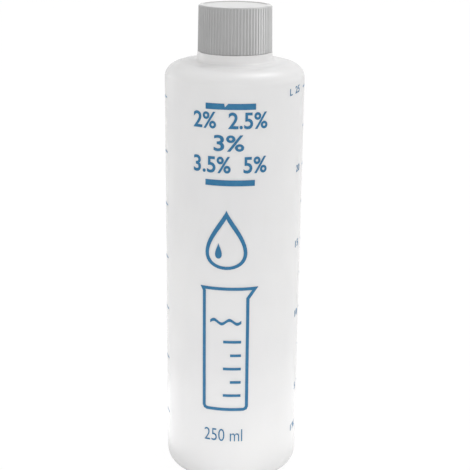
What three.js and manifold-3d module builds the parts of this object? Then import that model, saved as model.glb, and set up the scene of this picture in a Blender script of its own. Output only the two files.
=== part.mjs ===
// Capped measuring bottle of 250 ml: a blow-moulded bottle with a threaded neck, a ribbed screw cap
// and the foam wad that seals between them. Millimetres, +Z up, origin under the middle of the base.

import * as THREE from 'three';
import { mergeVertices } from 'three/addons/utils/BufferGeometryUtils.js';
import Module from 'manifold-3d';

const wasm = await Module();
wasm.setup();

// Bottle body
const BODY_RADIUS = 24.5;
const BODY_WALL = 0.8;
const BODY_TOP = 147.8;
const BASE_EDGE_RADIUS = 4;
const BASE_FLOOR = 1;
const STANDING_RING_WIDTH = 2.6;
const PUSH_UP_HEIGHT = 2.4;
const PUSH_UP_FLAT_SHARE = 0.6;

// Weld line that the closing mould pinches across the base
const PINCH_LENGTH = 26;
const PINCH_WIDTH = 1.1;
const PINCH_HEIGHT = 0.45;
const PINCH_ROOT_DEPTH = 0.5;

// Shoulder
const SHOULDER_RUN = 7.3;
const SHOULDER_RISE = 5.2;
const SHOULDER_SLOPE = 0.16;

// Collar and neck
const COLLAR_RADIUS = 13.1;
const COLLAR_FLARE = 1.2;
const COLLAR_HEIGHT = 2.8;
const COLLAR_EDGE = 0.5;
const NECK_HEIGHT = 13;
const NECK_WALL = 2;
const LIP_EDGE = 0.45;

// Thread, right-hand, one start
const THREAD_PITCH = 3.175;
const THREAD_TURNS = 1.5;
const THREAD_MAJOR_RADIUS = 11.75;
const THREAD_DEPTH = 1.05;
const THREAD_CREST_WIDTH = 0.9;
const THREAD_FLANK = 0.5;
const THREAD_TOP_BELOW_LIP = 2.2;
const THREAD_FADE_TURNS = 0.12;

// Screw cap
const CAP_SKIRT_WALL = 0.38;
const CAP_DRAFT = 0.27;
const CAP_TOP_WALL = 1.5;
const CAP_RIM_BAND = 0.4;
const CAP_RIM_EDGE = 0.35;
const CAP_RIM_STEP = 0.2;
const RIB_COUNT = 72;
const RIB_DEPTH = 0.3;
const RIB_CREST_SHARE = 0.34;
const RIB_ROOT_SHARE = 0.26;
const LINER_THICKNESS = 1;
const LINER_EDGE = 0.25;

// Room between pieces that seat or run on each other
const SEAT_GAP = 0.3;
const THREAD_CLEARANCE = 0.3;
const CAP_TO_COLLAR = 0.3;

// Fineness of the round forms
const SIDES = 48;
const ARC_STEPS = 3;
const SINK = 0.4;
const MERGE_DISTANCE = 1e-4;

// Places that follow from the sizes above
const baseFlatRadius = BODY_RADIUS - BASE_EDGE_RADIUS;
const pushUpRadius = baseFlatRadius - STANDING_RING_WIDTH;
const pushUpBendRadius = pushUpRadius * PUSH_UP_FLAT_SHARE;
const shoulderEndRadius = BODY_RADIUS - SHOULDER_RUN;
const shoulderEndZ = BODY_TOP + SHOULDER_RISE;
const collarFootRadius = COLLAR_RADIUS + COLLAR_FLARE;
const collarFootZ = shoulderEndZ + (shoulderEndRadius - collarFootRadius) * SHOULDER_SLOPE;
const collarTopZ = collarFootZ + COLLAR_HEIGHT;
const lipZ = collarTopZ + NECK_HEIGHT;
const neckRadius = THREAD_MAJOR_RADIUS - THREAD_DEPTH;
const boreRadius = neckRadius - NECK_WALL;
const threadTopZ = lipZ - THREAD_TOP_BELOW_LIP;
const threadStartZ = threadTopZ - THREAD_TURNS * THREAD_PITCH;

const capBottomZ = collarTopZ + CAP_TO_COLLAR;
const linerBottomZ = lipZ + SEAT_GAP;
const linerTopZ = linerBottomZ + LINER_THICKNESS;
const capCeilingZ = linerTopZ + SEAT_GAP;
const capTopZ = capCeilingZ + CAP_TOP_WALL;
const capBoreRadius = THREAD_MAJOR_RADIUS + THREAD_CLEARANCE;
const capTopRadius = capBoreRadius + CAP_SKIRT_WALL + RIB_DEPTH;
const capBottomRadius = capTopRadius + CAP_DRAFT;
const rimRadius = capTopRadius - CAP_RIM_STEP;
const linerRadius = capBoreRadius - SEAT_GAP;

/** Turns a closed three.js geometry into a solid that can be joined and cut. */
function toSolid(geometry) {
  const bare = geometry.clone();
  bare.deleteAttribute('normal');
  bare.deleteAttribute('uv');
  const merged = mergeVertices(bare, MERGE_DISTANCE);
  const index = merged.index.array;
  const triangles = [];
  for (let i = 0; i < index.length; i += 3) {
    const [a, b, c] = [index[i], index[i + 1], index[i + 2]];
    if (a !== b && b !== c && c !== a) triangles.push(a, b, c);
  }
  return new wasm.Manifold(new wasm.Mesh({
    numProp: 3,
    vertProperties: new Float32Array(merged.attributes.position.array),
    triVerts: new Uint32Array(triangles),
  }));
}

/** Turns a solid back into a geometry for a mesh. */
function toGeometry(solid) {
  const mesh = solid.getMesh();
  const geometry = new THREE.BufferGeometry();
  geometry.setAttribute('position', new THREE.BufferAttribute(mesh.vertProperties, mesh.numProp));
  geometry.setIndex(new THREE.BufferAttribute(mesh.triVerts, 1));
  geometry.computeVertexNormals();
  return geometry;
}

/** Revolves a profile, drawn as radius against height, about the Z axis. */
function revolve(profile) {
  const geometry = new THREE.LatheGeometry(profile.getPoints(ARC_STEPS), SIDES);
  geometry.rotateX(Math.PI / 2);
  return geometry;
}

/** Outer and inner faces of the bottle as one profile, from under the base round over the lip. */
function bottleProfile() {
  const p = new THREE.Path();
  p.moveTo(0, PUSH_UP_HEIGHT);
  p.quadraticCurveTo(pushUpBendRadius, PUSH_UP_HEIGHT, pushUpRadius, 0);
  p.lineTo(baseFlatRadius, 0);
  p.absarc(baseFlatRadius, BASE_EDGE_RADIUS, BASE_EDGE_RADIUS, -Math.PI / 2, 0, false);
  p.lineTo(BODY_RADIUS, BODY_TOP);
  p.absellipse(shoulderEndRadius, BODY_TOP, SHOULDER_RUN, SHOULDER_RISE, 0, Math.PI / 2, false, 0);
  p.lineTo(collarFootRadius, collarFootZ);
  p.quadraticCurveTo(COLLAR_RADIUS, collarFootZ, COLLAR_RADIUS, collarTopZ - COLLAR_EDGE);
  p.quadraticCurveTo(COLLAR_RADIUS, collarTopZ, COLLAR_RADIUS - COLLAR_EDGE, collarTopZ);
  p.lineTo(neckRadius, collarTopZ);
  p.lineTo(neckRadius, lipZ - LIP_EDGE);
  p.quadraticCurveTo(neckRadius, lipZ, neckRadius - LIP_EDGE, lipZ);
  p.lineTo(boreRadius + LIP_EDGE, lipZ);
  p.quadraticCurveTo(boreRadius, lipZ, boreRadius, lipZ - LIP_EDGE);
  p.lineTo(boreRadius, collarTopZ);
  p.quadraticCurveTo(boreRadius, collarFootZ - BODY_WALL, collarFootRadius, collarFootZ - BODY_WALL);
  p.lineTo(shoulderEndRadius, shoulderEndZ - BODY_WALL);
  p.absellipse(shoulderEndRadius, BODY_TOP, SHOULDER_RUN - BODY_WALL, SHOULDER_RISE - BODY_WALL,
    Math.PI / 2, 0, true, 0);
  p.lineTo(BODY_RADIUS - BODY_WALL, BASE_EDGE_RADIUS);
  p.absarc(baseFlatRadius, BASE_EDGE_RADIUS, BASE_EDGE_RADIUS - BODY_WALL, 0, -Math.PI / 2, true);
  p.lineTo(pushUpRadius, BASE_FLOOR);
  p.quadraticCurveTo(pushUpBendRadius, PUSH_UP_HEIGHT + BASE_FLOOR, 0, PUSH_UP_HEIGHT + BASE_FLOOR);
  return p;
}

/**
 * A helical ridge: its section is extruded straight, and each vertex is then wound round the axis.
 * crestRadius and rootRadius may come in either order, so a ridge can stand out of a neck or into a bore.
 */
function threadRidge({ rootRadius, crestRadius, crestWidth, startZ, startTurn, turns }) {
  const outward = Math.sign(crestRadius - rootRadius);
  const depth = Math.abs(crestRadius - rootRadius);
  const footWidth = crestWidth + 2 * THREAD_FLANK * (depth + SINK) / THREAD_DEPTH;
  const section = new THREE.Shape();
  section.moveTo(-SINK, -footWidth / 2);
  section.lineTo(depth, -crestWidth / 2);
  section.lineTo(depth, crestWidth / 2);
  section.lineTo(-SINK, footWidth / 2);
  section.closePath();
  const steps = Math.round(turns * SIDES);
  const geometry = new THREE.ExtrudeGeometry(section, { steps, depth: turns, bevelEnabled: false });
  const position = geometry.attributes.position;
  const vertex = new THREE.Vector3();
  for (let i = 0; i < position.count; i += 1) {
    vertex.fromBufferAttribute(position, i);
    const turn = vertex.z;
    const toEnd = Math.min(turn, turns - turn);
    const fade = Math.min(1, toEnd / THREAD_FADE_TURNS);
    const height = vertex.x > 0 ? vertex.x * fade - (1 - fade) * SINK / 2 : vertex.x;
    const radius = rootRadius + outward * height;
    const angle = 2 * Math.PI * (startTurn + turn);
    position.setXYZ(i, radius * Math.cos(angle), radius * Math.sin(angle),
      startZ + turn * THREAD_PITCH - outward * vertex.y);
  }
  return geometry;
}

/** The weld line under the base: a low bar that follows the pushed-up middle. */
function pinchLine() {
  const bar = new THREE.BoxGeometry(PINCH_LENGTH, PINCH_WIDTH, PUSH_UP_HEIGHT + BASE_FLOOR);
  bar.translate(0, 0, (PUSH_UP_HEIGHT + BASE_FLOOR) / 2);
  const p = new THREE.Path();
  p.moveTo(0, PUSH_UP_HEIGHT - PINCH_HEIGHT);
  p.quadraticCurveTo(pushUpBendRadius, PUSH_UP_HEIGHT - PINCH_HEIGHT, pushUpRadius, -PINCH_HEIGHT);
  p.lineTo(pushUpRadius, PINCH_ROOT_DEPTH);
  p.quadraticCurveTo(pushUpBendRadius, PUSH_UP_HEIGHT + PINCH_ROOT_DEPTH,
    0, PUSH_UP_HEIGHT + PINCH_ROOT_DEPTH);
  return toSolid(bar).intersect(toSolid(revolve(p)));
}

/** The whole bottle: shell, neck thread and weld line. */
function makeBottle() {
  const shell = toSolid(revolve(bottleProfile()));
  const thread = toSolid(threadRidge({
    rootRadius: neckRadius,
    crestRadius: THREAD_MAJOR_RADIUS,
    crestWidth: THREAD_CREST_WIDTH,
    startZ: threadStartZ,
    startTurn: 0,
    turns: THREAD_TURNS,
  }));
  return toGeometry(shell.add(thread).add(pinchLine()));
}

/** Outline of the ribbed skirt at the given crest radius, seen from above. */
function ribOutline(crestRadius) {
  const rootRadius = crestRadius - RIB_DEPTH;
  const pitch = 2 * Math.PI / RIB_COUNT;
  const outline = new THREE.Shape();
  const corners = [
    [-RIB_CREST_SHARE / 2, crestRadius],
    [RIB_CREST_SHARE / 2, crestRadius],
    [0.5 - RIB_ROOT_SHARE / 2, rootRadius],
    [0.5 + RIB_ROOT_SHARE / 2, rootRadius],
  ];
  for (let rib = 0; rib < RIB_COUNT; rib += 1) {
    for (const [share, radius] of corners) {
      const angle = (rib + share) * pitch;
      const method = rib === 0 && share < 0 ? 'moveTo' : 'lineTo';
      outline[method](radius * Math.cos(angle), radius * Math.sin(angle));
    }
  }
  outline.closePath();
  return outline;
}

/** The ribbed outside of the cap's skirt, wider at its open end by the draft. */
function ribbedSkirt() {
  const height = capTopZ - CAP_RIM_BAND - capBottomZ;
  const geometry = new THREE.ExtrudeGeometry(ribOutline(capBottomRadius), {
    depth: height,
    bevelEnabled: false,
  });
  const position = geometry.attributes.position;
  for (let i = 0; i < position.count; i += 1) {
    const taper = 1 - position.getZ(i) / height * CAP_DRAFT / capBottomRadius;
    position.setXYZ(i, position.getX(i) * taper, position.getY(i) * taper,
      position.getZ(i) + capBottomZ);
  }
  return geometry;
}

/** The plain rim and top plate above the ribs. */
function capTopPlate() {
  const p = new THREE.Path();
  p.moveTo(0, capCeilingZ - SINK);
  p.lineTo(rimRadius - RIB_DEPTH, capCeilingZ - SINK);
  p.lineTo(rimRadius, capTopZ - CAP_RIM_BAND);
  p.lineTo(rimRadius, capTopZ - CAP_RIM_EDGE);
  p.quadraticCurveTo(rimRadius, capTopZ, rimRadius - CAP_RIM_EDGE, capTopZ);
  p.lineTo(0, capTopZ);
  return revolve(p);
}

/** The hollow of the cap, with a small lead-in at its mouth. */
function capHollow() {
  const p = new THREE.Path();
  p.moveTo(0, capBottomZ - SINK);
  p.lineTo(capBoreRadius + SINK, capBottomZ - SINK);
  p.lineTo(capBoreRadius, capBottomZ + SINK);
  p.lineTo(capBoreRadius, capCeilingZ);
  p.lineTo(0, capCeilingZ);
  return revolve(p);
}

/** The whole screw cap: ribbed skirt, top plate, hollow and inside thread. */
function makeCap() {
  const outside = toSolid(ribbedSkirt()).add(toSolid(capTopPlate()));
  const thread = toSolid(threadRidge({
    rootRadius: capBoreRadius,
    crestRadius: neckRadius + THREAD_CLEARANCE,
    crestWidth: THREAD_CREST_WIDTH,
    startZ: threadStartZ - THREAD_PITCH,
    startTurn: -0.5,
    turns: THREAD_TURNS,
  }));
  return toGeometry(outside.subtract(toSolid(capHollow())).add(thread));
}

/** The foam wad, a flat disc with a slightly rounded edge. */
function makeLiner() {
  const p = new THREE.Path();
  p.moveTo(0, linerBottomZ);
  p.lineTo(linerRadius - LINER_EDGE, linerBottomZ);
  p.quadraticCurveTo(linerRadius, linerBottomZ, linerRadius, linerBottomZ + LINER_EDGE);
  p.lineTo(linerRadius, linerTopZ - LINER_EDGE);
  p.quadraticCurveTo(linerRadius, linerTopZ, linerRadius - LINER_EDGE, linerTopZ);
  p.lineTo(0, linerTopZ);
  return toGeometry(toSolid(revolve(p)));
}

/** A named mesh with its own plain material. */
function piece(name, geometry, color, roughness) {
  const material = new THREE.MeshStandardMaterial({ color, roughness, metalness: 0 });
  const mesh = new THREE.Mesh(geometry, material);
  mesh.name = name;
  return mesh;
}

const measuringBottle = new THREE.Group();
measuringBottle.add(piece('bottle', makeBottle(), 0xe9eaea, 0.42));
measuringBottle.add(piece('screw_cap', makeCap(), 0xb4b5b6, 0.5));
measuringBottle.add(piece('cap_liner', makeLiner(), 0xf3f2ee, 0.9));

export default measuringBottle;
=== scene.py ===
"""Looks of a capped 250 ml measuring bottle.

A milky blow-moulded bottle, a ribbed grey cap, a foam wad and blue print.
"""

import logging
import math
from dataclasses import dataclass, field
from enum import Enum
from typing import Callable, Iterable, Sequence

import bmesh
import bpy
from bpy.types import Curve, Material, Mesh, Node, NodeSocket, NodeTree, Object
from mathutils import Matrix, Vector


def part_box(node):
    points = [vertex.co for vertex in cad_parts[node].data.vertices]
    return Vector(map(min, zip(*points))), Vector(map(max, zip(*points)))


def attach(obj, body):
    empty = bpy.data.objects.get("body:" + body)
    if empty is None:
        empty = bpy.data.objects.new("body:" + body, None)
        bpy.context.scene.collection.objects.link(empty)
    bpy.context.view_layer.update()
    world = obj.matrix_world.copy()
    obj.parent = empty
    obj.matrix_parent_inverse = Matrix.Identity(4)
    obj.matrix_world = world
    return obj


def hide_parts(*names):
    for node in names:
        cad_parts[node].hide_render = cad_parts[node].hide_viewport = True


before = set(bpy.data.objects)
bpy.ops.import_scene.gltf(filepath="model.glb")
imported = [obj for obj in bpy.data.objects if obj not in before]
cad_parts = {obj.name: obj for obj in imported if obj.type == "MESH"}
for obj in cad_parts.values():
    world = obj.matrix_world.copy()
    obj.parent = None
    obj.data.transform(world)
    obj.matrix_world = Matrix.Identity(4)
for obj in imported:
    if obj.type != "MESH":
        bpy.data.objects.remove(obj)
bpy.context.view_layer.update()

LOG = logging.getLogger("measuring_bottle")
MM = 0.001
SAME = 1e-6  # two lengths in millimetres count as one within this
FULL_TURN = 2 * math.pi
WHITE = "#FFFFFF"
POINT = tuple[float, float]


class Body(Enum):
    """The moving bodies that pieces ride on."""

    BOTTLE = "bottle"
    LINER = "liner"
    CAP = "cap"


class Slot(Enum):
    """The record's material slots."""

    BOTTLE = "natural_hdpe"
    CAP = "grey_polypropylene"
    LINER = "foam_wad"
    INK = "blue_ink"


# Finishes


def linear(hex_colour: str) -> tuple[float, float, float, float]:
    """Turns an sRGB hex colour into linear light.

    Args:
        hex_colour: Colour such as "#A0B0C0".

    Returns:
        Linear red, green, blue and an alpha of 1.
    """
    parts = [int(hex_colour[i : i + 2], 16) / 255 for i in (1, 3, 5)]
    curve = [c / 12.92 if c <= 0.04045 else ((c + 0.055) / 1.055) ** 2.4 for c in parts]
    return (*curve, 1.0)


def per_metre(size_mm: float) -> float:
    """Returns the texture scale whose pattern repeats about every size_mm millimetres."""
    return 1 / (size_mm * MM)


def add_node(
    tree: NodeTree,
    kind: str,
    settings: dict[str, object] | None = None,
    links: dict[str, NodeSocket] | None = None,
) -> Node:
    """Adds a node with its settings and links.

    Args:
        tree: Node tree that gets the node.
        kind: Node type name.
        settings: Values by property name or input name.
        links: Output sockets by the name of the input that they feed.

    Returns:
        The new node.
    """
    node = tree.nodes.new(kind)
    for name, value in (settings or {}).items():
        if name in node.inputs:
            node.inputs[name].default_value = value
        else:
            setattr(node, name, value)
    for name, socket in (links or {}).items():
        tree.links.new(socket, node.inputs[name])
    return node


@dataclass(frozen=True)
class Relief:
    """A surface's fine relief: how strongly it shows, and its depth in millimetres."""

    strength: float
    depth: float


class Recipe:
    """A material in the making, with the position on its piece in metres."""

    def __init__(self, name: str) -> None:
        """Starts an empty node material of the given name."""
        self.material = bpy.data.materials.new(name)
        self.material.use_nodes = True
        self.tree = self.material.node_tree
        self.tree.nodes.clear()
        self.place = add_node(self.tree, "ShaderNodeTexCoord").outputs["Object"]

    def noise(self, size_mm: float, detail: float, place: NodeSocket | None = None) -> NodeSocket:
        """Returns an uneven pattern, 0 to 1, at the material's own position if none is given."""
        settings = {"Scale": per_metre(size_mm), "Detail": detail}
        links = {"Vector": self.place if place is None else place}
        return add_node(self.tree, "ShaderNodeTexNoise", settings, links).outputs["Fac"]

    def relief(
        self, relief: Relief, height: NodeSocket, under: NodeSocket | None = None
    ) -> NodeSocket:
        """Returns the normal of a relief from a pattern, laid over a coarser one if given."""
        links = {"Height": height} if under is None else {"Height": height, "Normal": under}
        settings = {"Strength": relief.strength, "Distance": relief.depth * MM}
        return add_node(self.tree, "ShaderNodeBump", settings, links).outputs["Normal"]

    def tinted(
        self, factor: NodeSocket, low: str, high: str, ends: POINT = (0.35, 0.65)
    ) -> NodeSocket:
        """Spreads a pattern between two colours.

        Args:
            factor: Pattern value from 0 to 1.
            low: Hex colour at the low end.
            high: Hex colour at the high end.
            ends: Pattern values at which the two colours are reached.

        Returns:
            The colour socket.
        """
        ramp = add_node(self.tree, "ShaderNodeValToRGB", links={"Fac": factor})
        for element, place, colour in zip(ramp.color_ramp.elements, ends, (low, high)):
            element.position = place
            element.color = linear(colour)
        return ramp.outputs["Color"]

    def close(self, shader: Node) -> Material:
        """Feeds the last shader to the output and returns the material."""
        add_node(self.tree, "ShaderNodeOutputMaterial", links={"Surface": shader.outputs[0]})
        return self.material

    def plastic(self, settings: dict[str, object], links: dict[str, NodeSocket]) -> Material:
        """Closes the material with a plastic surface and returns it."""
        return self.close(add_node(self.tree, "ShaderNodeBsdfPrincipled", settings, links))


@dataclass(frozen=True)
class NaturalPolyethylene:
    """Unpigmented HDPE, blown in a lightly blasted mould: milky and waxy, with a soft highlight."""

    thin: str = "#DFDEDE"
    thick: str = "#E4E3E2"
    roughness: float = 0.27
    ior: float = 1.54
    gloss: float = 0.4
    clouding_mm: float = 38.0
    flow_mm: float = 5.0
    flow_stretch: tuple[float, float, float] = (1.0, 1.0, 0.12)
    flow: Relief = Relief(0.25, 0.12)
    grain_mm: float = 0.45
    grain: Relief = Relief(0.22, 0.02)
    milkiness: float = 0.6
    light_depth_mm: float = 2.4
    light_reach: tuple[float, float, float] = (1.0, 0.97, 0.93)

    def material(self) -> Material:
        """Returns the wall's material, with faint clouds, flow lines and the mould's grain."""
        recipe = Recipe("Natural polyethylene, blow moulded")
        clouds = recipe.noise(self.clouding_mm, detail=2.0)
        stretched = add_node(
            recipe.tree, "ShaderNodeMapping", {"Scale": self.flow_stretch}, {"Vector": recipe.place}
        )
        lines = recipe.noise(self.flow_mm, detail=1.0, place=stretched.outputs["Vector"])
        specks = recipe.noise(self.grain_mm, detail=2.0)
        skin = recipe.relief(self.grain, specks, recipe.relief(self.flow, lines))
        return recipe.plastic(
            {
                "Roughness": self.roughness,
                "IOR": self.ior,
                "Specular IOR Level": self.gloss,
                "Subsurface Weight": self.milkiness,
                "Subsurface Radius": self.light_reach,
                "Subsurface Scale": self.light_depth_mm * MM,
            },
            {"Base Color": recipe.tinted(clouds, self.thin, self.thick), "Normal": skin},
        )


@dataclass(frozen=True)
class MouldedPolypropylene:
    """Grey polypropylene, moulded in a spark-eroded tool: even colour and a dry, satin surface."""

    colour: str = "#A6A6A6"
    streak: str = "#ABABAB"
    roughness: float = 0.4
    ior: float = 1.49
    streak_mm: float = 9.0
    grain_mm: float = 0.3
    grain: Relief = Relief(0.3, 0.02)

    def material(self) -> Material:
        """Returns the cap's material, with faint pigment streaks and the tool's eroded grain."""
        recipe = Recipe("Grey polypropylene, injection moulded")
        streaks = recipe.noise(self.streak_mm, detail=3.0)
        skin = recipe.relief(self.grain, recipe.noise(self.grain_mm, detail=2.0))
        return recipe.plastic(
            {"Roughness": self.roughness, "IOR": self.ior},
            {"Base Color": recipe.tinted(streaks, self.colour, self.streak), "Normal": skin},
        )


@dataclass(frozen=True)
class FoamedPolyethylene:
    """Expanded polyethylene sheet, punched into a disc: white, matt, with fine closed cells."""

    cell_wall: str = "#F4F2EC"
    cell: str = "#E4E1D8"
    roughness: float = 0.85
    ior: float = 1.5
    cell_mm: float = 0.45
    cell_ends: POINT = (0.1, 0.6)
    cells: Relief = Relief(0.5, 0.05)

    def material(self) -> Material:
        """Returns the wad's material, with cells in its colour and its surface."""
        recipe = Recipe("Foamed polyethylene, punched sheet")
        scale, links = {"Scale": per_metre(self.cell_mm)}, {"Vector": recipe.place}
        pattern = add_node(recipe.tree, "ShaderNodeTexVoronoi", scale, links).outputs["Distance"]
        colour = recipe.tinted(pattern, self.cell, self.cell_wall, self.cell_ends)
        return recipe.plastic(
            {"Roughness": self.roughness, "IOR": self.ior},
            {"Base Color": colour, "Normal": recipe.relief(self.cells, pattern)},
        )


@dataclass(frozen=True)
class ScreenInk:
    """Blue screen-printing ink on treated plastic: flat colour, uneven where the mesh let go."""

    full: str = "#12658F"
    lean: str = "#22719A"
    roughness: float = 0.45
    ior: float = 1.5
    patch_mm: float = 2.2
    patch_ends: POINT = (0.45, 0.8)

    def material(self) -> Material:
        """Returns the print's material, with lean and full patches of ink."""
        recipe = Recipe("Blue ink, screen printed")
        patches = recipe.noise(self.patch_mm, detail=4.0)
        return recipe.plastic(
            {"Roughness": self.roughness, "IOR": self.ior},
            {"Base Color": recipe.tinted(patches, self.full, self.lean, self.patch_ends)},
        )


# Shapes


@dataclass
class Profile:
    """A section drawn as radius against height in millimetres, from the axis and back to it."""

    points: list[POINT] = field(default_factory=list)

    def line(self, radius: float, height: float, steps: int = 1) -> None:
        """Draws a straight stretch.

        Args:
            radius: Radius at its end.
            height: Height at its end.
            steps: Number of equal steps.
        """
        if not self.points:
            self.points.append((radius, height))
            return
        r0, z0 = self.points[-1]
        for i in range(1, steps + 1):
            share = i / steps
            self.points.append((r0 + (radius - r0) * share, z0 + (height - z0) * share))

    def arc(
        self, radius: float, height: float, run: float, rise: float,
        start: float, end: float, steps: int = 10,
    ) -> None:
        """Draws a quarter of a circle or an ellipse.

        Args:
            radius: Radius of the arc's centre.
            height: Height of the arc's centre.
            run: Half width of the ellipse.
            rise: Half height of the ellipse.
            start: Start angle in degrees, 0 outward and 90 up.
            end: End angle in degrees.
            steps: Number of steps.
        """
        for i in range(steps + 1):
            angle = math.radians(start + (end - start) * i / steps)
            point = (radius + run * math.cos(angle), height + rise * math.sin(angle))
            if not self.points or math.dist(point, self.points[-1]) > SAME:
                self.points.append(point)

    def bend(self, control: POINT, end: POINT, steps: int = 8) -> None:
        """Draws a quadratic curve.

        Args:
            control: Control point.
            end: End point.
            steps: Number of steps.
        """
        start = self.points[-1]
        for i in range(1, steps + 1):
            t = i / steps
            weights = ((1 - t) ** 2, 2 * t * (1 - t), t * t)
            corners = (start, control, end)
            self.points.append(tuple(
                sum(w * p[axis] for w, p in zip(weights, corners)) for axis in (0, 1)
            ))


def revolve(
    name: str,
    profile: Profile,
    angles: Sequence[float],
    push: Callable[[float, float, float], float],
) -> Object:
    """Turns a profile about the upright axis and pushes each point in or out.

    Args:
        name: Name of the new object.
        profile: Profile that starts and ends on the axis.
        angles: Column angles in radians, rising, within one turn.
        push: Gives the outward push in millimetres from angle, radius and height.

    Returns:
        The closed mesh object.
    """
    mesh = bmesh.new()
    rows: list[list[bmesh.types.BMVert]] = []
    for radius, height in profile.points:
        if radius < SAME:
            rows.append([mesh.verts.new((0, 0, height * MM))])
            continue
        ring = []
        for angle in angles:
            far = (radius + push(angle, radius, height)) * MM
            spot = (far * math.cos(angle), far * math.sin(angle), height * MM)
            ring.append(mesh.verts.new(spot))
        rows.append(ring)
    count = len(angles)
    for low, high in zip(rows, rows[1:]):
        for j in range(count):
            k = (j + 1) % count
            corners = [row[i % len(row)] for row, i in ((low, j), (low, k), (high, k), (high, j))]
            mesh.faces.new(list(dict.fromkeys(corners)))
    return finish_mesh(name, mesh)


def finish_mesh(name: str, mesh: bmesh.types.BMesh, crease_degrees: float = 38.0) -> Object:
    """Makes a smooth-shaded object from a mesh.

    Args:
        name: Name of the object and its data.
        mesh: Mesh that is used up.
        crease_degrees: Edges sharper than this stay sharp.

    Returns:
        The object, linked to the scene.
    """
    bmesh.ops.recalc_face_normals(mesh, faces=mesh.faces)
    data = bpy.data.meshes.new(name)
    mesh.to_mesh(data)
    mesh.free()
    data.shade_smooth()
    data.set_sharp_from_angle(angle=math.radians(crease_degrees))
    piece = bpy.data.objects.new(name, data)
    bpy.context.scene.collection.objects.link(piece)
    return piece


def smooth_step(value: float) -> float:
    """Returns value held between 0 and 1 and eased at both ends."""
    held = min(1.0, max(0.0, value))
    return held * held * (3 - 2 * held)


def even_angles(count: int) -> list[float]:
    """Returns count equal column angles round one turn."""
    return [FULL_TURN * i / count for i in range(count)]


@dataclass(frozen=True)
class Thread:
    """One right-hand ridge that winds round the axis, in millimetres."""

    start_height: float
    start_turn: float
    turns: float = 1.5
    pitch: float = 3.175
    crest: float = 0.9
    flank: float = 0.5
    fade_turns: float = 0.12

    def share(self, angle: float, height: float) -> float:
        """Gives how much of the ridge stands at a point.

        Args:
            angle: Angle round the axis in radians.
            height: Height in millimetres.

        Returns:
            0 off the ridge, 1 on its crest.
        """
        best = 0.0
        first = (angle / FULL_TURN - self.start_turn) % 1
        for lap in range(math.ceil(self.turns) + 1):
            turn = first + lap
            if turn > self.turns:
                break
            off = abs(height - self.start_height - turn * self.pitch)
            ridge = smooth_step((self.crest / 2 + self.flank - off) / self.flank)
            best = max(best, ridge * smooth_step(min(turn, self.turns - turn) / self.fade_turns))
        return best


def dress(piece: Object, material: Material, body: Body, slot: Slot, *nodes: str) -> Object:
    """Gives a piece its material and its body, and hides the solids that it stands for.

    Args:
        piece: New object.
        material: Its material.
        body: Body that it rides on.
        slot: Record slot of its finish; not used.
        nodes: Solids that it replaces.

    Returns:
        The same object.
    """
    piece.data.materials.append(material)
    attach(piece, body.value)
    if nodes:
        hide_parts(*nodes)
    LOG.info("%s: %d faces on %s", piece.name, len(piece.data.polygons), body.value)
    return piece


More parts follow.
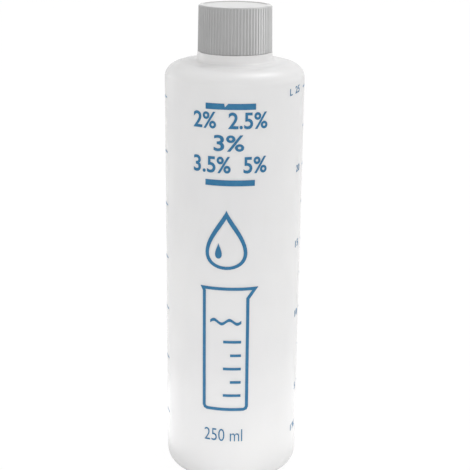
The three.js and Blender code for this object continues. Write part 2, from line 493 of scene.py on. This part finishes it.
@dataclass
class Bottle:
    """The blow-moulded bottle, in millimetres.

    Each of the wall's waves has a share, a number of lobes and a rise in millimetres a radian.
    """

    radius: float
    wall: float = 0.8
    body_top: float = 147.8
    base_edge: float = 4.0
    floor: float = 1.0
    ring_width: float = 2.6
    push_up: float = 2.4
    push_up_flat: float = 0.6
    shoulder_run: float = 7.3
    shoulder_rise: float = 5.2
    shoulder_slope: float = 0.16
    collar_radius: float = 13.1
    collar_flare: float = 1.2
    collar_height: float = 3.0
    collar_edge: float = 0.15
    neck_height: float = 12.8
    neck_radius: float = 10.7
    neck_wall: float = 2.0
    lip_edge: float = 0.45
    thread_depth: float = 1.05
    thread_below_lip: float = 2.2
    neck_row: float = 0.16
    columns: int = 192
    seam_height: float = 0.07
    seam_width: float = 0.22
    seam_columns: tuple[float, ...] = (-1.0, -0.5, 0.5, 1.0)
    wave: float = 0.035
    wave_sink: float = 0.8
    wave_swing: float = 0.5
    wave_terms: tuple[tuple[float, int, float], ...] = ((1.0, 3, 21.0), (0.6, 5, -13.0))
    weld_length: float = 26.0
    weld_width: float = 1.1
    weld_height: float = 0.45
    weld_root: float = 0.5
    weld_fade: float = 1.5
    weld_end: float = 0.1
    weld_bow_steps: int = 6

    @property
    def flat_radius(self) -> float:
        """Outer radius of the flat standing ring."""
        return self.radius - self.base_edge

    @property
    def dome_radius(self) -> float:
        """Inner radius of the standing ring, where the pushed-up middle starts."""
        return self.flat_radius - self.ring_width

    @property
    def shoulder_end(self) -> POINT:
        """Radius and height where the shoulder's round ends."""
        return self.radius - self.shoulder_run, self.body_top + self.shoulder_rise

    @property
    def collar_foot(self) -> POINT:
        """Radius and height where the collar starts."""
        radius = self.collar_radius + self.collar_flare
        end_radius, end_height = self.shoulder_end
        return radius, end_height + (end_radius - radius) * self.shoulder_slope

    @property
    def collar_top(self) -> float:
        """Height of the collar's top."""
        return self.collar_foot[1] + self.collar_height

    @property
    def lip(self) -> float:
        """Height of the neck's lip."""
        return self.collar_top + self.neck_height

    def thread(self) -> Thread:
        """Returns the neck's thread."""
        top = self.lip - self.thread_below_lip
        return Thread(start_height=top - Thread.turns * Thread.pitch, start_turn=0.0)

    def profile(self) -> Profile:
        """Returns the wall's section, outside and inside."""
        flat, dome = self.flat_radius, self.dome_radius
        foot_radius, foot = self.collar_foot
        end_radius, end = self.shoulder_end
        collar, neck, edge, lip = self.collar_radius, self.neck_radius, self.lip_edge, self.lip
        bore = neck - self.neck_wall
        base_in = self.base_edge - self.wall
        run_in, rise_in = self.shoulder_run - self.wall, self.shoulder_rise - self.wall
        p = Profile()
        p.line(0, self.push_up)
        p.bend((dome * self.push_up_flat, self.push_up), (dome, 0), steps=14)
        p.line(flat, 0, steps=2)
        p.arc(flat, self.base_edge, self.base_edge, self.base_edge, -90, 0, steps=12)
        p.line(self.radius, self.body_top, steps=36)
        p.arc(end_radius, self.body_top, self.shoulder_run, self.shoulder_rise, 0, 90, steps=20)
        p.line(foot_radius, foot, steps=2)
        p.bend((collar, foot), (collar, self.collar_top - self.collar_edge))
        p.bend((collar, self.collar_top), (collar - self.collar_edge, self.collar_top), steps=5)
        p.line(neck, self.collar_top, steps=2)
        p.line(neck, lip - edge, steps=round((self.neck_height - edge) / self.neck_row))
        p.bend((neck, lip), (neck - edge, lip), steps=5)
        p.line(bore + edge, lip)
        p.bend((bore, lip), (bore, lip - edge), steps=5)
        p.line(bore, self.collar_top, steps=4)
        p.bend((bore, foot - self.wall), (foot_radius, foot - self.wall))
        p.line(end_radius, end - self.wall)
        p.arc(end_radius, self.body_top, run_in, rise_in, 90, 0, steps=12)
        p.line(self.radius - self.wall, self.base_edge, steps=12)
        p.arc(flat, self.base_edge, base_in, base_in, 0, -90, steps=8)
        p.line(dome, self.floor)
        inner_top = self.push_up + self.floor
        p.bend((dome * self.push_up_flat, inner_top), (0, inner_top), steps=10)
        return p

    def column_angles(self) -> list[float]:
        """Returns the column angles, closer together at the two mould seams."""
        angles = even_angles(self.columns)
        for seam in (0.0, math.pi):
            for offset in self.seam_columns:
                angles.append((seam + offset * self.seam_width / self.radius) % FULL_TURN)
        return sorted(angles)

    def push(self, angle: float, radius: float, height: float) -> float:
        """Gives the thread, the mould seams and the wall's slight unevenness.

        Args:
            angle: Angle round the axis in radians.
            radius: Radius of the plain profile.
            height: Height of the plain profile.

        Returns:
            Outward push in millimetres.
        """
        on_neck = abs(radius - self.neck_radius) < SAME
        if on_neck and self.collar_top < height < self.lip - self.lip_edge:
            return self.thread_depth * self.thread().share(angle, height)
        if radius < self.radius - self.base_edge / 2:
            return 0.0
        seam = 0.0
        if abs(radius - self.radius) < SAME:
            off = min(abs(math.sin(angle)), 1.0) * self.radius
            seam = self.seam_height * smooth_step(1 - off / self.seam_width)
        middle = math.sin(math.pi * min(1.0, max(0.0, height / self.body_top)))
        swell = sum(
            share * math.sin(lobes * angle + height / rise)
            for share, lobes, rise in self.wave_terms
        )
        return seam - self.wave * middle * (self.wave_sink + self.wave_swing * swell)

    def weld_line(self) -> Object:
        """Builds the raised line across the base, where the mould pinched the wall together."""
        dome = self.dome_radius
        arch = Profile([(0.0, self.push_up)])
        arch.bend((dome * self.push_up_flat, self.push_up), (dome, 0), steps=28)
        half = [point for point in arch.points if point[0] <= self.weld_length / 2]
        stations = [(-x, z) for x, z in reversed(half[1:])] + half
        bow = [math.pi * k / self.weld_bow_steps for k in range(self.weld_bow_steps + 1)]
        mesh = bmesh.new()
        rings = []
        for x, z in stations:
            to_end = (self.weld_length / 2 - abs(x)) / self.weld_fade
            depth = self.weld_height * smooth_step(to_end + self.weld_end)
            section = [(-0.5, self.weld_root), (0.5, self.weld_root)]
            section += [(0.5 * math.cos(a), -depth * math.sin(a)) for a in bow]
            rings.append([
                mesh.verts.new((x * MM, y * self.weld_width * MM, (z + up) * MM))
                for y, up in section
            ])
        count = len(rings[0])
        for one, other in zip(rings, rings[1:]):
            for j in range(count):
                k = (j + 1) % count
                mesh.faces.new((one[j], one[k], other[k], other[j]))
        mesh.faces.new(rings[0])
        mesh.faces.new(rings[-1])
        return finish_mesh("weld_line", mesh)

    def build(self) -> None:
        """Builds and dresses the bottle and its weld line."""
        plastic = NaturalPolyethylene().material()
        shell = revolve("bottle_shell", self.profile(), self.column_angles(), self.push)
        dress(shell, plastic, Body.BOTTLE, Slot.BOTTLE, "bottle")
        dress(self.weld_line(), plastic, Body.BOTTLE, Slot.BOTTLE)


@dataclass
class ScrewCap:
    """The ribbed cap, in millimetres. It sits over the given bottle."""

    bottle: Bottle
    top_radius: float = 12.73
    draft: float = 0.27
    top_wall: float = 1.5
    rim_band: float = 0.4
    rim_edge: float = 0.35
    rim_step: float = 0.2
    dish_rim: float = 0.8
    dish_depth: float = 0.2
    rib_bevel: float = 0.08
    above_collar: float = 0.1
    bore_radius: float = 12.05
    ceiling_fillet: float = 0.3
    thread_depth: float = 1.05
    liner_room: float = 1.6
    rib_count: int = 72
    rib_depth: float = 0.3
    groove_share: float = 0.7
    groove_flank: float = 0.45
    columns_per_rib: int = 6
    bore_row: float = 0.22
    mouth_lead: float = 0.4
    skirt_edge: float = 0.06

    @property
    def bottom(self) -> float:
        """Height of the skirt's open edge."""
        return self.bottle.collar_top + self.above_collar

    @property
    def ceiling(self) -> float:
        """Height of the inside of the top plate."""
        return self.bottle.lip + self.liner_room

    @property
    def top(self) -> float:
        """Height of the cap's top."""
        return self.ceiling + self.top_wall

    @property
    def rib_top(self) -> float:
        """Height at which the ribs end under the rim."""
        return self.top - self.rim_band

    def thread(self) -> Thread:
        """Returns the inside thread, one pitch under the neck's."""
        neck = self.bottle.thread()
        return Thread(start_height=neck.start_height - Thread.pitch, start_turn=-0.5)

    def profile(self) -> Profile:
        """Returns the cap's section, from its ceiling down the bore and up the skirt."""
        rim = self.top_radius - self.rim_step
        crest_edge = self.top_radius + self.draft
        bore, ceiling, fillet = self.bore_radius, self.ceiling, self.ceiling_fillet
        edge, dish = self.rim_edge, self.dish_depth
        rows = round((ceiling - self.bottom) / self.bore_row)
        p = Profile()
        p.line(0, ceiling)
        p.line(bore - fillet, ceiling, steps=6)
        p.bend((bore, ceiling), (bore, ceiling - fillet), steps=3)
        p.line(bore, self.bottom + self.mouth_lead, steps=rows)
        p.line(bore + self.mouth_lead / 2, self.bottom)
        p.line(crest_edge - self.skirt_edge, self.bottom)
        p.line(crest_edge, self.bottom + self.skirt_edge)
        p.line(self.top_radius, self.rib_top - self.rib_bevel, steps=10)
        p.line(self.top_radius - self.rib_bevel, self.rib_top)
        p.line(rim, self.rib_top)
        p.line(rim, self.top - edge)
        p.arc(rim - edge, self.top - edge, edge, edge, 0, 90, steps=6)
        brink = rim - edge - self.dish_rim
        p.line(brink, self.top, steps=2)
        p.bend((brink - dish, self.top), (brink - 2 * dish, self.top - dish), steps=4)
        p.line(0, self.top - dish, steps=4)
        return p

    def push(self, angle: float, radius: float, height: float) -> float:
        """Gives the ribs outside and the thread inside.

        Args:
            angle: Angle round the axis in radians.
            radius: Radius of the plain profile.
            height: Height of the plain profile.

        Returns:
            Outward push in millimetres.
        """
        if abs(radius - self.bore_radius) < SAME:
            return -self.thread_depth * self.thread().share(angle, height)
        above = height >= self.rib_top + SAME
        if above or radius <= self.top_radius - self.rim_step + SAME:
            return 0.0
        phase = angle * self.rib_count / FULL_TURN % 1
        groove = smooth_step((self.groove_share - abs(2 * phase - 1)) / self.groove_flank)
        return -self.rib_depth * groove

    def build(self) -> Object:
        """Builds and dresses the cap."""
        angles = even_angles(self.rib_count * self.columns_per_rib)
        shell = revolve("ribbed_cap", self.profile(), angles, self.push)
        return dress(shell, MouldedPolypropylene().material(), Body.CAP, Slot.CAP, "screw_cap")


@dataclass
class CapLiner:
    """The foam wad between two heights, in millimetres.

    The pressed ring's curves are a control point and an end, each a radius and a rise.
    """

    radius: float
    bottom: float
    top: float
    edge: float = 0.25
    ring_start: float = 8.5
    ring_curves: tuple[tuple[POINT, POINT], ...] = (
        ((9.1, 0.16), (9.7, 0.14)),
        ((10.4, 0.16), (11.0, 0.0)),
    )
    columns: int = 96

    def build(self) -> Object:
        """Builds and dresses the wad, with the ring that the lip has pressed into its underside."""
        p = Profile()
        p.line(0, self.bottom)
        p.line(self.ring_start, self.bottom, steps=4)
        for control, end in self.ring_curves:
            lifted = [(radius, self.bottom + rise) for radius, rise in (control, end)]
            p.bend(*lifted, steps=5)
        p.line(self.radius - self.edge, self.bottom)
        p.bend((self.radius, self.bottom), (self.radius, self.bottom + self.edge), steps=4)
        p.line(self.radius, self.top - self.edge)
        p.bend((self.radius, self.top), (self.radius - self.edge, self.top), steps=4)
        p.line(0, self.top, steps=5)
        disc = revolve("foam_wad", p, even_angles(self.columns), lambda *_: 0.0)
        return dress(disc, FoamedPolyethylene().material(), Body.LINER, Slot.LINER, "cap_liner")


# Print

MITRE_LIMIT = 0.45
DROP_TAPER = 1.5
DROP_FULLNESS = 0.66


def inset(outline: Sequence[POINT], distance: float) -> list[POINT]:
    """Moves a closed outline inward, corner by corner.

    Args:
        outline: Corners in counter-clockwise order.
        distance: How far each side moves.

    Returns:
        The inner outline, with as many corners.
    """
    moved = []
    count = len(outline)
    for i in range(count):
        before, here, after = (Vector(outline[(i + k) % count]) for k in (-1, 0, 1))
        first, second = (here - before).normalized(), (after - here).normalized()
        normals = Vector((-first.y, first.x)), Vector((-second.y, second.x))
        middle = (normals[0] + normals[1]).normalized()
        moved.append(tuple(here + middle * distance / max(MITRE_LIMIT, middle.dot(normals[0]))))
    return moved


def drop(x: float, bottom: float, width: float, height: float, steps: int = 44) -> list[POINT]:
    """Returns the outline of a hanging drop, counter-clockwise from its tip."""
    outline = []
    for k in range(steps):
        t = FULL_TURN * k / steps
        side = -math.sin(t) * abs(math.sin(t / 2)) ** DROP_TAPER
        up = height * (1 + math.cos(t)) / 2
        outline.append((x + side * width * DROP_FULLNESS, bottom + up))
    return outline


@dataclass(frozen=True)
class Stroke:
    """A printed stroke between two edges with as many points each, in millimetres."""

    near: tuple[POINT, ...]
    far: tuple[POINT, ...]
    closed: bool = False

    @classmethod
    def bar(cls, left: float, bottom: float, width: float, height: float) -> "Stroke":
        """Returns an upright rectangle."""
        right, top = left + width, bottom + height
        return cls(((left, bottom), (right, bottom)), ((left, top), (right, top)))

    @classmethod
    def ring(cls, outline: Sequence[POINT], width: float) -> "Stroke":
        """Returns a line of the given width along the inside of a counter-clockwise outline."""
        return cls(tuple(outline), tuple(inset(outline, width)), True)

    @classmethod
    def ripple(
        cls, left: float, right: float, middle: float, swing: float, width: float
    ) -> "Stroke":
        """Returns a wavy line of two waves."""
        steps = 24
        line = []
        for k in range(steps + 1):
            share = k / steps
            wave = math.sin(2 * FULL_TURN * share)
            line.append((left + (right - left) * share, middle + swing * wave))
        low = tuple((x, y - width / 2) for x, y in line)
        return cls(low, tuple((x, y + width / 2) for x, y in line))

    @classmethod
    def blob(cls, outline: Sequence[POINT]) -> "Stroke":
        """Returns a filled drop from its outline, which starts at its tip."""
        half = len(outline) // 2
        left = [outline[k] for k in range(half + 1)]
        right = [outline[-k % len(outline)] for k in range(half + 1)]
        return cls(tuple(left), tuple(right))


@dataclass(frozen=True)
class Line:
    """A line of plain numbers: its text, the middle of its place and its size, in millimetres."""

    text: str
    middle: float
    height: float
    width: float
    tall: float
    weight: float = 0.0
    slant: float = 0.0


@dataclass(frozen=True)
class Heading:
    """The mixing shares between two bars, in millimetres; left, right and middle in degrees.

    Each share has its text, its shift from the middle, its height, its width and how tall it is.
    """

    left: float = -23.0
    right: float = 17.2
    middle: float = -3.3
    upper_bar: POINT = (140.3, 142.35)
    nick: tuple[POINT, ...] = ((-3.4, 0.0), (-3.1, -1.2), (-2.0, 0.0))
    lower_bar: float = 114.1
    bar_height: float = 2.05
    shares: tuple[tuple[str, float, float, float, float], ...] = (
        ("2%  2.5%", 0.0, 136.6, 26.0, 5.7),
        ("3%", -0.3, 128.9, 10.4, 5.6),
        ("3.5%  5%", 0.0, 121.4, 26.0, 5.8),
    )
    weight: float = 0.018


@dataclass(frozen=True)
class Motif:
    """The outlined oil drop above the outlined beaker, in millimetres; the middle in degrees.

    The beaker's corners run counter-clockwise, each with its shift from the middle and its height.
    The small drop has a shift, a bottom, a width and a height, the surface a height and a swing.
    """

    middle: float = -5.5
    stroke: float = 1.15
    beaker: tuple[POINT, ...] = (
        (-6.8, 30.0), (6.8, 30.0), (7.9, 30.5), (8.4, 31.6), (8.4, 73.1),
        (11.6, 77.5), (-9.3, 77.5), (-8.4, 75.7), (-8.4, 31.6), (-7.9, 30.5),
    )
    drop_bottom: float = 84.0
    drop_width: float = 16.0
    drop_height: float = 21.5
    drop_thinning: POINT = (2.4, 3.6)
    small_drop: tuple[float, float, float, float] = (-2.7, 88.0, 2.6, 5.6)
    small_drop_steps: int = 20
    reach: float = 5.6
    surface: POINT = (64.5, 0.75)
    level_count: int = 5
    level_lengths: POINT = (6.4, 3.9)
    level_bottom: float = 35.6
    level_step: float = 5.2
    level_height: float = 1.0

    def strokes(self, middle: float) -> list[Stroke]:
        """Draws the motif.

        Args:
            middle: Place of its middle along the wall.

        Returns:
            Its strokes, which don't touch one another.
        """
        width, height = self.drop_width, self.drop_height
        thin_width, thin_height = (share * self.stroke for share in self.drop_thinning)
        outer = drop(middle, self.drop_bottom, width, height)
        inner = drop(
            middle, self.drop_bottom + self.stroke, width - thin_width, height - thin_height
        )
        aside, *size = self.small_drop
        right = middle + self.reach
        drawn = [
            Stroke(tuple(outer), tuple(inner), True),
            Stroke.blob(drop(middle + aside, *size, self.small_drop_steps)),
            Stroke.ring([(middle + shift, height) for shift, height in self.beaker], self.stroke),
            Stroke.ripple(middle - self.reach, right, *self.surface, self.stroke),
        ]
        for k in range(self.level_count):
            length = self.level_lengths[k % 2]
            height = self.level_bottom + k * self.level_step
            drawn.append(Stroke.bar(right - length, height, length, self.level_height))
        return drawn


@dataclass(frozen=True)
class Mark:
    """A text of the litre scale: its middle's height in millimetres and angle in degrees."""

    text: str
    height: float
    angle: float
    width: float = 3.2
    tall: float = 2.5


@dataclass(frozen=True)
class Scales:
    """The litre scale and the level lines, in millimetres; turns and angles in degrees."""

    numbers: tuple[Mark, ...] = (
        Mark("25", 145.3, 61.6), Mark("20", 117.2, 66.6), Mark("15", 89.2, 68.9),
        Mark("10", 62.0, 72.2), Mark("5", 32.0, 74.6, 1.5),
    )
    signs: tuple[Mark, ...] = (Mark("L", 144.8, 52.0, 1.5, 2.4), Mark("1%", 16.4, 70.5, 4.6, 2.6))
    weight: float = 0.01
    slant: float = 0.1
    tick: POINT = (4.4, 0.5)
    tick_turn: float = 13.0
    half_tick: POINT = (2.4, 0.4)
    half_tick_turn: float = 12.0
    level_heights: tuple[float, ...] = (141.2, 121.7, 102.4, 82.5, 62.8, 43.1, 20.9)
    level_angle: float = -72.5


@dataclass(frozen=True)
class Volume:
    """The plain volume, in millimetres; left and right in degrees."""

    text: str = "250 ml"
    left: float = -23.4
    right: float = 9.5
    height: float = 20.2
    tall: float = 4.9
    weight: float = -0.006


@dataclass
class Print:
    """Screen printing on the bottle's wall, in millimetres.

    Angles are in degrees, rightwards from the front.
    """

    radius: float
    ink: Material
    proud: float = 0.035
    sunk: float = 0.12
    strip: float = 0.9
    merge: float = 0.0004
    crease_degrees: float = 30.0
    curve_steps: int = 4

    def along(self, degrees: float) -> float:
        """Returns the distance along the wall of an angle from the front."""
        return self.radius * math.radians(degrees)

    def strokes(self, strokes: Iterable[Stroke]) -> Mesh:
        """Makes thin flat solids of strokes.

        Args:
            strokes: Strokes that don't touch one another.

        Returns:
            The flat, thin mesh.
        """
        mesh = bmesh.new()
        half = (self.proud + self.sunk) / 2
        for stroke in strokes:
            edges = (
                (stroke.near, half), (stroke.far, half), (stroke.far, -half), (stroke.near, -half),
            )
            sides = [[mesh.verts.new((x, y, level)) for x, y in edge] for edge, level in edges]
            count = len(stroke.near)
            for i in range(count if stroke.closed else count - 1):
                k = (i + 1) % count
                for one, other in zip(sides, sides[1:] + sides[:1]):
                    mesh.faces.new((one[i], one[k], other[k], other[i]))
            if not stroke.closed:
                for i in (0, count - 1):
                    mesh.faces.new([side[i] for side in sides])
        data = bpy.data.meshes.new("flat_strokes")
        mesh.to_mesh(data)
        mesh.free()
        return data

    def numbers(self, line: Line) -> Mesh:
        """Sets a line of numbers in the built-in face.

        Args:
            line: The line.

        Returns:
            The flat, thin mesh.
        """
        curve = bpy.data.curves.new("numbers", "FONT")
        curve.body = line.text
        curve.resolution_u = self.curve_steps
        curve.offset = line.weight
        data = self.thicken(curve)
        for axis, middle, size in ((0, line.middle, line.width), (1, line.height, line.tall)):
            values = [v.co[axis] for v in data.vertices]
            low, high = min(values), max(values)
            for vertex in data.vertices:
                share = (vertex.co[axis] - (low + high) / 2) / (high - low)
                vertex.co[axis] = middle + share * size
        for vertex in data.vertices:
            vertex.co.y += (vertex.co.x - line.middle) * line.slant
        return data

    def thicken(self, curve: Curve) -> Mesh:
        """Turns a flat curve into a thin mesh and removes the curve."""
        curve.extrude = (self.proud + self.sunk) / 2
        flat = bpy.data.objects.new("flat_print", curve)
        bpy.context.scene.collection.objects.link(flat)
        bpy.context.view_layer.update()
        evaluated = flat.evaluated_get(bpy.context.evaluated_depsgraph_get())
        data = bpy.data.meshes.new_from_object(evaluated)
        bpy.data.objects.remove(flat)
        bpy.data.curves.remove(curve)
        return data

    def wrap(self, name: str, drawings: Iterable[Mesh]) -> Object:
        """Cuts flat drawings into upright strips and bends them round the wall as one piece.

        Args:
            name: Name of the piece.
            drawings: Thin meshes along the wall, used up.

        Returns:
            The dressed piece.
        """
        mesh = bmesh.new()
        for data in drawings:
            mesh.from_mesh(data)
            bpy.data.meshes.remove(data)
        bmesh.ops.remove_doubles(mesh, verts=mesh.verts, dist=self.merge)
        xs = [v.co.x for v in mesh.verts]
        first = math.ceil(min(xs) / self.strip)
        for k in range(first, math.ceil(max(xs) / self.strip)):
            bmesh.ops.bisect_plane(
                mesh, geom=mesh.verts[:] + mesh.edges[:] + mesh.faces[:],
                plane_co=(k * self.strip, 0, 0), plane_no=(1, 0, 0), dist=self.merge,
            )
        for vertex in mesh.verts:
            x, y, z = vertex.co
            turn = x / self.radius
            far = (self.radius + (self.proud - self.sunk) / 2 + z) * MM
            vertex.co = (far * math.sin(turn), -far * math.cos(turn), y * MM)
        piece = finish_mesh(name, mesh, self.crease_degrees)
        return dress(piece, self.ink, Body.BOTTLE, Slot.INK)

    def build(self) -> None:
        """Prints the front and the two scales."""
        self.front_heading()
        self.front_motif()
        self.volume()
        self.right_scale()
        self.left_scale()

    def front_heading(self) -> None:
        """Prints three lines of mixing shares between two bars, the upper with a nick in it."""
        spec = Heading()
        left, right, middle = (self.along(a) for a in (spec.left, spec.right, spec.middle))
        low, high = spec.upper_bar
        nick = tuple((x, high + rise) for x, rise in spec.nick)
        edge = ((left, high), *nick, (right, high))
        top = Stroke(tuple((x, low) for x, _ in edge), edge)
        foot = Stroke.bar(left, spec.lower_bar, right - left, spec.bar_height)
        lines = [
            Line(text, middle + shift, height, width, tall, spec.weight)
            for text, shift, height, width, tall in spec.shares
        ]
        self.wrap("heading_bars", [self.strokes([top, foot])])
        self.wrap("mixing_numbers", [self.numbers(line) for line in lines])

    def front_motif(self) -> None:
        """Prints an outlined oil drop above an outlined beaker with level lines."""
        motif = Motif()
        drawn = motif.strokes(self.along(motif.middle))
        self.wrap("oil_drop_and_beaker", [self.strokes(drawn)])

    def volume(self) -> None:
        """Prints the plain volume."""
        spec = Volume()
        left, right = self.along(spec.left), self.along(spec.right)
        middle = (left + right) / 2
        line = Line(spec.text, middle, spec.height, right - left, spec.tall, spec.weight)
        self.wrap("volume_number", [self.numbers(line)])

    def mark(self, mark: Mark, scales: Scales) -> Mesh:
        """Returns one text of the litre scale as a flat, thin mesh."""
        place = (self.along(mark.angle), mark.height, mark.width, mark.tall)
        return self.numbers(Line(mark.text, *place, scales.weight, scales.slant))

    def tick(self, left: float, height: float, size: POINT) -> Stroke:
        """Returns a level line from its left end, its middle's height and its size."""
        return Stroke.bar(left, height - size[1] / 2, *size)

    def right_scale(self) -> None:
        """Prints the scale of litres, which runs a little askew up the right side."""
        spec = Scales()
        drawings = [self.mark(mark, spec) for mark in (*spec.numbers, *spec.signs)]
        ticks = []
        for k, mark in enumerate(spec.numbers):
            ticks.append(self.tick(self.along(mark.angle + spec.tick_turn), mark.height, spec.tick))
            if k:
                between = (mark.height + spec.numbers[k - 1].height) / 2
                left = self.along(mark.angle + spec.half_tick_turn)
                ticks.append(self.tick(left, between, spec.half_tick))
        self.wrap("litre_scale", [*drawings, self.strokes(ticks)])

    def left_scale(self) -> None:
        """Prints the plain level lines on the left side."""
        spec = Scales()
        left = self.along(spec.level_angle) - spec.tick[0]
        ticks = [self.tick(left, height, spec.tick) for height in spec.level_heights]
        self.wrap("level_lines", [self.strokes(ticks)])


# Studio


@dataclass(frozen=True)
class Lamp:
    """A soft box in metres and watts, with its aim and whether it lights the cap alone."""

    name: str
    place: tuple[float, float, float]
    width: float
    height: float
    power: float
    aim: tuple[float, float, float] = (0.0, 0.0, 0.09)
    cap_only: bool = False


@dataclass
class Studio:
    """Plain pale floor, soft lamps and the camera, in metres and degrees."""

    focal_pixels: float = 1111.3
    picture_pixels: float = 470.0
    sensor_mm: float = 36.0
    camera_place: tuple[float, float, float] = (0.00067, -0.38865, 0.21198)
    pitch: float = 17.55
    roll: float = 0.59
    floor_size: float = 6.0
    floor_height: float = -0.0001
    floor_colour: str = "#F6F6F6"
    floor_glow: float = 0.95
    glow_strength: float = 1.015
    world_colour: str = WHITE
    world_strength: float = 0.857
    lamps: tuple[Lamp, ...] = (
        Lamp("overhead_box", (0.3, 0.15, 0.9), 0.5, 0.5, 1.75),
        Lamp("crest_lamp", (0.36, 0.16, 0.95), 0.1, 0.06, 0.45),
        Lamp("front_box", (0.05, -0.95, 0.3), 0.7, 0.4, 0.85),
        Lamp("right_box", (0.6, -0.25, 0.2), 0.4, 0.3, 0.12),
        Lamp("left_rim_box", (-0.5, 0.3, 0.2), 0.3, 0.3, 0.2),
        Lamp("cap_top_box", (0.0, 0.8, 0.27), 0.9, 0.14, 1.1, (0.0, 0.0, 0.172), True),
        Lamp("cap_side_box", (0.5, -0.02, 0.2), 0.25, 0.25, 1.4, (0.0, 0.0, 0.165), True),
        Lamp("floor_sheet", (0.0, -0.17, 0.002), 0.5, 0.24, 0.045, (0.0, -0.17, 1.0)),
        Lamp("near_front_sheet", (0.0, -0.062, 0.002), 0.16, 0.07, 0.014, (0.0, -0.062, 1.0)),
        Lamp("near_left_sheet", (-0.06, 0.0, 0.002), 0.06, 0.1, 0.012, (-0.06, 0.0, 1.0)),
        Lamp("near_right_sheet", (0.06, 0.0, 0.002), 0.06, 0.1, 0.007, (0.06, 0.0, 1.0)),
    )

    def build(self, cap: Object) -> None:
        """Makes the camera, the floor, the world and the lamps.

        Args:
            cap: The cap, which some lamps light alone.
        """
        self.make_camera()
        self.make_floor()
        self.make_world()
        receivers = bpy.data.collections.new("lit_by_cap_lamps")
        receivers.objects.link(cap)
        for lamp in self.lamps:
            light = self.make_lamp(lamp)
            if lamp.cap_only:
                light.light_linking.receiver_collection = receivers

    def make_camera(self) -> None:
        """Sets the camera at the picture's own place and angle."""
        data = bpy.data.cameras.new("camera")
        data.sensor_width = self.sensor_mm
        data.lens = self.focal_pixels * self.sensor_mm / self.picture_pixels
        camera = bpy.data.objects.new("camera", data)
        down, lean = math.radians(self.pitch), math.radians(self.roll)
        forward = Vector((0, math.cos(down), -math.sin(down)))
        level = Vector((1, 0, 0))
        upright = level.cross(forward)
        right = math.cos(lean) * level + math.sin(lean) * upright
        up = -math.sin(lean) * level + math.cos(lean) * upright
        turn = Matrix((right, up, -forward)).transposed().to_4x4()
        camera.matrix_world = Matrix.Translation(self.camera_place) @ turn
        bpy.context.scene.collection.objects.link(camera)
        bpy.context.scene.camera = camera

    def seen_directly(self, tree: NodeTree) -> NodeSocket:
        """Gives a socket with 1 for rays straight from the camera and 0 for all others."""
        return add_node(tree, "ShaderNodeLightPath").outputs["Is Camera Ray"]

    def make_floor(self) -> None:
        """Makes the floor, which glows nearly white to the camera and keeps a little shadow."""
        mesh = bmesh.new()
        bmesh.ops.create_grid(mesh, x_segments=1, y_segments=1, size=self.floor_size / 2)
        bmesh.ops.translate(mesh, verts=mesh.verts, vec=(0, 0, self.floor_height))
        floor = finish_mesh("studio_floor", mesh)
        recipe = Recipe("Pale studio paper")
        tree = recipe.tree
        paper = add_node(tree, "ShaderNodeBsdfDiffuse", {"Color": linear(self.floor_colour)})
        glow = add_node(
            tree, "ShaderNodeEmission", {"Color": linear(WHITE), "Strength": self.glow_strength}
        )
        share = add_node(tree, "ShaderNodeMath", {"operation": "MULTIPLY"})
        tree.links.new(self.seen_directly(tree), share.inputs[0])
        share.inputs[1].default_value = self.floor_glow
        mixed = add_node(tree, "ShaderNodeMixShader", links={"Fac": share.outputs["Value"]})
        tree.links.new(paper.outputs[0], mixed.inputs[1])
        tree.links.new(glow.outputs[0], mixed.inputs[2])
        floor.data.materials.append(recipe.close(mixed))

    def make_world(self) -> None:
        """Makes the surrounding light, which the camera sees as plain white."""
        world = bpy.data.worlds.new("studio")
        bpy.context.scene.world = world
        world.use_nodes = True
        tree = world.node_tree
        tree.nodes.clear()
        around = add_node(
            tree, "ShaderNodeBackground",
            {"Color": linear(self.world_colour), "Strength": self.world_strength},
        )
        white = add_node(tree, "ShaderNodeBackground", {"Color": linear(WHITE), "Strength": 1.0})
        mixed = add_node(tree, "ShaderNodeMixShader", links={"Fac": self.seen_directly(tree)})
        tree.links.new(around.outputs[0], mixed.inputs[1])
        tree.links.new(white.outputs[0], mixed.inputs[2])
        add_node(tree, "ShaderNodeOutputWorld", links={"Surface": mixed.outputs[0]})

    def make_lamp(self, lamp: Lamp) -> Object:
        """Hangs one soft box, turned to its aim.

        Args:
            lamp: The soft box.

        Returns:
            The light.
        """
        data = bpy.data.lights.new(lamp.name, "AREA")
        data.shape = "RECTANGLE"
        data.size = lamp.width
        data.size_y = lamp.height
        data.energy = lamp.power
        light = bpy.data.objects.new(lamp.name, data)
        light.location = lamp.place
        light.visible_camera = False
        aim = Vector(lamp.aim) - Vector(lamp.place)
        light.rotation_euler = aim.to_track_quat("-Z", "Y").to_euler()
        bpy.context.scene.collection.objects.link(light)
        return light


def main() -> None:
    """Builds every piece and the studio, sized from the CAD parts, and logs each piece's face
    count.
    """
    logging.basicConfig(level=logging.INFO, format="%(name)s: %(message)s")
    bpy.context.scene.view_settings.view_transform = "Standard"
    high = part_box("bottle")[1]
    bottle = Bottle(radius=high.x / MM)
    bottle.build()
    cap = ScrewCap(bottle).build()
    low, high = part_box("cap_liner")
    CapLiner(radius=high.x / MM, bottom=low.z / MM, top=high.z / MM).build()
    Print(bottle.radius, ScreenInk().material()).build()
    Studio().build(cap)


if __name__ == "__main__":
    main()
